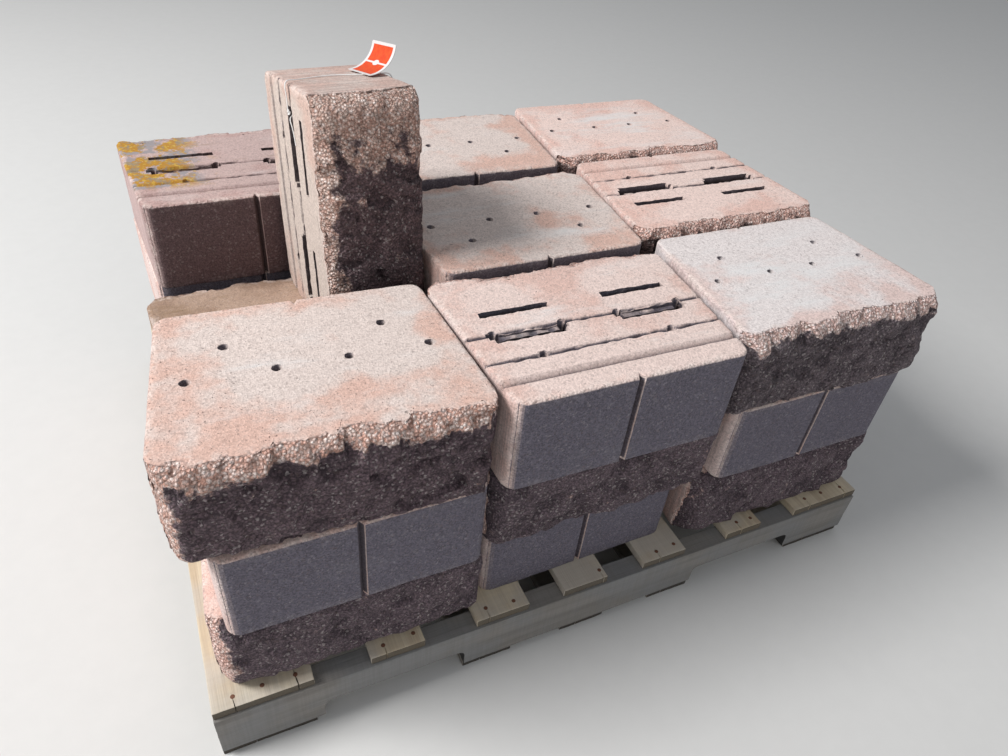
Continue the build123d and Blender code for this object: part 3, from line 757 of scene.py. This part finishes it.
def show(name, mesh, place, material, node=None):
    """Puts a mesh in the scene as a piece of the object."""
    mesh.name = name
    mesh.materials.clear()
    mesh.materials.append(material)
    mesh.shade_smooth()
    mesh.set_sharp_from_angle(angle=radians(SHARP_ANGLE))
    piece = bpy.data.objects.new(name, mesh)
    bpy.context.collection.objects.link(piece)
    piece.matrix_world = place
    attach(piece, "root")
    if node:
        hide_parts(node)
    return piece


def plank(size, seed, along, cracks):
    """A sawn board about its own middle: worn arrises, raised grain and splits at its ends."""
    pitch = [9.0, 9.0, 9.0]
    pitch[along] = 18.0
    places = [spaced(length, step) - length / 2 for length, step in zip(size, pitch)]
    grid, faces = box_grid(*places)
    high = size / 2
    ragged = grid + 613.0 * seed
    radius = 1.4 + 0.9 * noise(ragged, 25, seed) + 5 * np.clip(noise(ragged, 60, seed + 1) - 0.55, 0, 1)
    points = soften(grid, -high, high, np.clip(radius, 0.5, 4.0))
    stretched = ragged.copy()
    stretched[:, along] /= 14
    inward = -np.sign(points) * np.exp(-(high - np.abs(points)) / 3)
    points += inward * (0.35 + 0.35 * noise(stretched, 8, seed + 2))[:, None]
    shapes = []
    for across, length, width, end in cracks:
        low, top = np.zeros(3), np.zeros(3)
        side = 1 - along
        low[side], top[side] = across - width / 2, across + width / 2
        ends = sorted((end * (high[along] + 3), end * (high[along] - length)))
        low[along], top[along] = ends
        low[2], top[2] = -high[2] - 2 if size[2] < 20 else high[2] - 15, high[2] + 2
        points_cut, faces_cut = ragged_box(low, top, 0.5, seed + int(abs(across)), 9.0)
        inner = np.abs(points_cut[:, along] - end * (high[along] - length)) / length
        squeeze = across + (points_cut[:, side] - across) * np.clip(inner, 0.12, 1)
        points_cut[:, side] = squeeze + 1.5 * noise(points_cut * (0, 1, 0) if along else points_cut * (1, 0, 0), 30, seed)
        shapes.append([(points_cut, faces_cut)])
    mesh = to_mesh("plank", points, faces)
    return cut(mesh, shapes) if shapes else mesh


# Wood tones: the deck's is lightened as painted light on its lit tops, the stringers' darkened as painted shade
# on their sides
DECK_TONE = ((0.70, 0.60, 0.44), (0.52, 0.41, 0.28), (0.57, 0.52, 0.45))
BOTTOM_TONE = ((0.36, 0.31, 0.25), (0.25, 0.20, 0.15), (0.30, 0.28, 0.26))
STRINGER_TONE = ((0.26, 0.245, 0.225), (0.19, 0.175, 0.16), (0.23, 0.23, 0.23))
# Nails seen at the front of the deck boards: distance from each board's left edge, millimetres
DECK_NAILS = ((31, 72, 119), (23, 72), (22, 70), (76,), (35, 74), (34, 66), (39, 82, 131))
NAIL_FROM_END = 15.0
NAIL_HEAD_RADIUS = 3.4


def deck_board(number):
    """A deck board, split from its front nails to its end."""
    node = f"deck_board_{number}"
    middle, size = own_box(node)
    nails = DECK_NAILS[number - 1]
    cracks = [(nail - size[0] / 2, 24.0, 1.6, -1) for nail in nails[:1]]
    cracks += [(nail - size[0] / 2, 70.0 + 9 * number, 2.2, -1) for nail in nails[2:]]
    cracks += [(0.22 * size[0], 60.0 + 11 * number, 2.0, 1)]
    material = wood(node + "_wood", 3 * number, 1, DECK_TONE, 0.06)
    mesh = plank(size, 5 * number, 1, cracks)
    return show(node + "_look", mesh, Matrix.Translation(middle), material, node)


def bottom_board(number):
    """A bottom board."""
    node = f"bottom_board_{number}"
    middle, size = own_box(node)
    material = wood(node + "_wood", 3 * number + 40, 1, BOTTOM_TONE, 0.3)
    mesh = plank(size, 5 * number + 60, 1, [(-0.15 * size[0], 55.0, 2.0, -1), (0.3 * size[0], 80.0, 2.0, 1)])
    return show(node + "_look", mesh, Matrix.Translation(middle), material, node)


def notch_cutter(middle_x, size, seed):
    """The space of one fork notch, with its two upper corners rounded."""
    points, faces = ragged_box(
        (middle_x - NOTCH_LENGTH / 2, -size[1], -size[2]),
        (middle_x + NOTCH_LENGTH / 2, size[1], NOTCH_HEIGHT - size[2] / 2), 0.25, seed, 6.0)
    top, reach = NOTCH_HEIGHT - size[2] / 2, NOTCH_RADIUS
    away_x = np.abs(points[:, 0] - middle_x) - (NOTCH_LENGTH / 2 - reach)
    away_z = points[:, 2] - (top - reach)
    corner = (away_x > 0) & (away_z > 0)
    turned = np.maximum(away_x, away_z) / np.maximum(np.hypot(away_x, away_z), 1e-9)
    side = np.sign(points[:, 0] - middle_x)
    points[:, 0] = np.where(corner, middle_x + side * (NOTCH_LENGTH / 2 - reach + away_x * turned), points[:, 0])
    points[:, 2] = np.where(corner, top - reach + away_z * turned, points[:, 2])
    return [(points, faces)]


def stringer(label, seed):
    """A notched stringer with its saw marks."""
    node = f"stringer_{label}"
    middle, size = own_box(node)
    mesh = plank(size, seed, 0, [])
    notch_x = size[0] / 2 - NOTCH_FROM_END - NOTCH_LENGTH / 2
    mesh = cut(mesh, [notch_cutter(side * notch_x, size, seed + side) for side in (-1, 1)])
    material = wood(node + "_wood", seed, 0, STRINGER_TONE, 0.12)
    return show(node + "_look", mesh, Matrix.Translation(middle), material, node)


def nail_heads():
    """Rusty nail heads in both ends of the deck boards, as one joined mesh."""
    rings = ((0.0, 0.55), (0.6, 0.5), (1.0, 0.05), (1.05, -1.2))
    sides = 12
    points, faces = [], []
    for number, nails in enumerate(DECK_NAILS, start=1):
        low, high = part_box(f"deck_board_{number}")
        spots = [(low.x / MM + nail, low.y / MM + NAIL_FROM_END + (7 * nail) % 5) for nail in nails]
        spots += [(low.x / MM + nail + 3, high.y / MM - NAIL_FROM_END - (5 * nail) % 6) for nail in nails]
        for x, y in spots:
            start = len(points)
            for reach, rise in rings:
                for side in range(sides):
                    angle = 2 * pi * side / sides
                    flat = NAIL_HEAD_RADIUS * reach
                    points.append((x + flat * cos(angle), y + flat * sin(angle), high.z / MM + rise - 0.15))
            for ring, side in product(range(len(rings) - 1), range(sides)):
                a, b = start + ring * sides + side, start + ring * sides + (side + 1) % sides
                faces.append((a, a + sides, b + sides, b) if ring else (a, a + sides, b + sides))
    mesh = bpy.data.meshes.new("nails")
    mesh.from_pydata([tuple(c * MM for c in point) for point in points], [], faces)
    graph = Graph("nail_rust", 0.8)
    at = graph.place(2)
    rust = graph.mix(graph.noise(at, 500.0), (0.10, 0.045, 0.03), (0.24, 0.10, 0.055))
    material = graph.finish(rust, graph.noise(at, 900.0), 0.0004)
    return show("deck_nails", mesh, Matrix.Identity(4), material, None)


def from_slots(slots, front, up):
    """A point of the standing block in metres, by its distances from its slotted face and front."""
    own = Vector((SPLIT_FACE_WIDTH / 2 - up, BLOCK_DEPTH - front, BLOCK_HEIGHT - slots)) * MM
    return standing_place @ own


def beside(slots, front, from_hole):
    """A point beside the standing block, up from its upper outer pin hole."""
    return from_slots(slots, front, SPLIT_FACE_WIDTH / 2 - FOUR_ROW_ACROSS[0] + from_hole)


def over_top(slots, front, rise):
    """A point over the standing block's upper side."""
    return from_slots(slots, front, SPLIT_FACE_WIDTH / 2 + half_width(BLOCK_DEPTH - front) + rise)


def string_points():
    """The string's route from its hanging tail through the pin hole, round the top to the knot."""
    hole, lift, clear, far = BLOCK_DEPTH - FOUR_ROW_FROM_REAR, STRING_LIFT, STRING_CLEAR_OF_EDGE, BLOCK_HEIGHT
    return [
        beside(-lift, hole - 13, -42),
        beside(-lift, hole - 9, -22),
        beside(-clear, hole - 1, -4),
        beside(12, hole, 0),
        beside(42, hole + 1, -2),
        beside(80, hole, -3.5),
        beside(116, hole - 1, -2),
        beside(far - 14, hole, 0),
        beside(far + clear, hole + 1, 4),
        beside(far + lift, hole + 3, 22),
        over_top(far + clear, hole + 6, clear),
        over_top(far - 20, hole + 14, lift + 0.6),
        over_top(far - 48, hole + 27, lift),
        over_top(70, hole + 36, lift),
        over_top(38, hole + 28, lift),
        over_top(16, hole + 14, lift + 0.6),
        over_top(-clear, hole + 5, clear),
        beside(-lift - 1.0, hole + 3, 20),
        beside(-lift - 2.0, hole + 2, 3),
    ]


def string_material():
    """White twisted cotton."""
    graph = Graph("string", 0.85)
    at = graph.place(4)
    strands = graph.noise(at, 900.0, 2.0)
    white = graph.mix(strands, (0.82, 0.82, 0.80), (0.93, 0.93, 0.92))
    return graph.finish(white, strands, 0.00006)


def curve_piece(name, points, radius, order):
    """An open NURBS curve with a round section."""
    curve = bpy.data.curves.new(name, "CURVE")
    curve.dimensions = "3D"
    spline = curve.splines.new("NURBS")
    spline.points.add(len(points) - 1)
    for point, place in zip(spline.points, points):
        point.co = (*place, 1)
    spline.order_u = order
    spline.use_endpoint_u = True
    spline.resolution_u = 12
    curve.bevel_depth, curve.bevel_resolution, curve.use_fill_caps = radius, 3, True
    piece = bpy.data.objects.new(name, curve)
    bpy.context.collection.objects.link(piece)
    return piece


def make_string():
    """The string with its knot and the tag that rests on it."""
    material = string_material()
    points = string_points()
    string = curve_piece("tag_string_look", points[::-1], STRING_DIAMETER / 2, 3)
    string.data.materials.append(material)
    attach(string, "root")
    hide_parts("tag_string")
    knot_middle = beside(-2.4, BLOCK_DEPTH - FOUR_ROW_FROM_REAR + 1, 1)
    across = (beside(0, 0, 10) - beside(0, 0, 0)).normalized()
    along = (beside(0, 10, 0) - beside(0, 0, 0)).normalized()
    outward = along.cross(across)
    loops = []
    for step in range(46):
        turn = 2 * pi * step / 45
        reach = (2.3 + 1.0 * cos(3 * turn)) * MM
        loops.append(
            knot_middle + reach * (cos(2 * turn) * across + sin(2 * turn) * along)
            + 1.0 * MM * sin(3 * turn) * outward)
    knot = curve_piece("string_knot", loops, STRING_DIAMETER / 2, 4)
    knot.data.materials.append(material)
    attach(knot, "root")
    make_tag()


def make_tag():
    """The plastic tag: orange panels inside a white border, curled up from one edge."""
    axes = Matrix.Identity(4)
    columns = (from_slots(1000, 0, 0), from_slots(0, 1000, 0), from_slots(0, 0, 1000))
    origin = from_slots(0, 0, 0)
    for column, end in enumerate((*columns, None)):
        value = origin if end is None else end - origin
        for row in range(3):
            axes[row][column] = value[row]
    across, front = TAG_PLACE
    foot = Vector((across, front, SPLIT_FACE_WIDTH / 2 + half_width(BLOCK_DEPTH - front) + TAG_REST_GAP)) * MM
    lean = Matrix.Rotation(-radians(TAPER), 4, "X")
    place = axes @ Matrix.Translation(foot) @ lean @ Matrix.Rotation(-radians(TAG_TURN), 4, "Z")
    length = TAG_CURL_RADIUS * radians(TAG_CURL_ANGLE)
    xs, ys = spaced(length, 2.0), spaced(TAG_WIDTH, 2.0) - TAG_WIDTH / 2
    grid, faces = box_grid(xs, ys, np.array([0.0, TAG_THICKNESS / 2, TAG_THICKNESS]))
    run, over = grid[:, 0].copy(), grid[:, 1].copy()
    reach = TAG_CORNER_RADIUS
    away_x = np.abs(run - length / 2) - (length / 2 - reach)
    away_y = np.abs(over) - (TAG_WIDTH / 2 - reach)
    corner = (away_x > 0) & (away_y > 0)
    turned = np.maximum(away_x, away_y) / np.maximum(np.hypot(away_x, away_y), 1e-9)
    run = np.where(corner, length / 2 + np.sign(run - length / 2) * (length / 2 - reach + away_x * turned), run)
    over = np.where(corner, np.sign(over) * (TAG_WIDTH / 2 - reach + away_y * turned), over)
    radius = TAG_CURL_RADIUS - grid[:, 2]
    points = np.stack([radius * np.sin(run / TAG_CURL_RADIUS), over,
                       TAG_CURL_RADIUS - radius * np.cos(run / TAG_CURL_RADIUS)], axis=1)
    mesh = to_mesh("tag", points, faces, {"run": run / length, "over": over / TAG_WIDTH + 0.5})
    mesh.transform(place)
    graph = Graph("tag_plastic", 0.5)
    along, side = graph.mark("run"), graph.mark("over")
    from_end = graph.math("ABSOLUTE", graph.math("SUBTRACT", along, 0.5))
    from_side = graph.math("ABSOLUTE", graph.math("SUBTRACT", side, 0.5))
    border = graph.math("MAXIMUM", graph.ramp(from_end, 0.43, 0.435), graph.ramp(from_side, 0.405, 0.41))
    band = graph.ramp(from_end, 0.026, 0.021)
    disc = graph.math("ADD", graph.math("POWER", from_end, 2.0), graph.math("POWER", graph.math("MULTIPLY", from_side, 0.7), 2.0))
    white = graph.math("MAXIMUM", graph.math("MAXIMUM", border, band), graph.ramp(disc, 0.0065, 0.0055))
    at = graph.place(6)
    worn = graph.noise(at, 160.0, 5.0)
    orange = graph.mix(graph.ramp(worn, 0.35, 0.7), (0.66, 0.050, 0.003), (0.70, 0.085, 0.008))
    paper = graph.mix(worn, (0.66, 0.65, 0.64), (0.76, 0.75, 0.74))
    material = graph.finish(graph.mix(white, orange, paper), graph.noise(at, 90.0), 0.0002)
    return show("hang_tag_look", mesh, Matrix.Identity(4), material, "hang_tag")


def make_camera():
    """The camera at the photograph's viewing angle, rolled as the photograph is."""
    forward = Vector(CAMERA_LOOKS).normalized()
    level = forward.cross(Vector((0, 0, 1))).normalized()
    upward = level.cross(forward)
    roll = radians(CAMERA_ROLL)
    right = cos(roll) * level + sin(roll) * upward
    top = cos(roll) * upward - sin(roll) * level
    data = bpy.data.cameras.new("camera")
    data.lens, data.sensor_width, data.sensor_fit = CAMERA_LENS, CAMERA_SENSOR, "HORIZONTAL"
    camera = bpy.data.objects.new("camera", data)
    bpy.context.collection.objects.link(camera)
    place = Matrix((right, top, -forward)).transposed().to_4x4()
    place.translation = Vector(CAMERA_PLACE)
    camera.matrix_world = place
    bpy.context.scene.camera = camera


def area_light(name, place, target, size, power):
    """A soft square lamp that looks at a point."""
    data = bpy.data.lights.new(name, "AREA")
    data.size, data.energy = size, power
    lamp = bpy.data.objects.new(name, data)
    bpy.context.collection.objects.link(lamp)
    lamp.location = place
    lamp.rotation_euler = (Vector(target) - Vector(place)).to_track_quat("-Z", "Y").to_euler()


def make_studio():
    """Pale floor, soft key from behind on the left, and a pale surrounding."""
    mesh = bpy.data.meshes.new("floor")
    reach = 14.0
    corners = [(-reach, -reach, 0), (reach, -reach, 0), (reach, reach, 0), (-reach, reach, 0)]
    mesh.from_pydata(corners, [], [(0, 1, 2, 3)])
    floor = bpy.data.objects.new("floor", mesh)
    bpy.context.collection.objects.link(floor)
    floor.data.materials.append(plain_material("floor", (0.72, 0.71, 0.69), 0.9))
    middle = (0, 0, 0.4)
    area_light("key", (-4.6, 0.6, 4.8), middle, 2.3, 425)
    area_light("fill", (-0.4, -3.6, 2.4), middle, 3.0, 20)
    world = bpy.data.worlds.new("world")
    world.use_nodes = True
    world.node_tree.nodes["Background"].inputs["Color"].default_value = (0.9, 0.94, 1.0, 1)
    world.node_tree.nodes["Background"].inputs["Strength"].default_value = 0.32
    bpy.context.scene.world = world
    bpy.context.scene.view_settings.view_transform = "Standard"


make_camera()
make_studio()
for seed, name in enumerate(sorted(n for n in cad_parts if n.startswith("block_"))):
    make_block(name, 40 * seed + 5)
for number in range(1, 8):
    deck_board(number)
for number in range(1, 6):
    bottom_board(number)
for seed, label in enumerate(("front", "centre", "back")):
    stringer(label, 90 + 7 * seed)
nail_heads()
standing_place = block_axes("block_standing", LEFT)[0]
make_string()
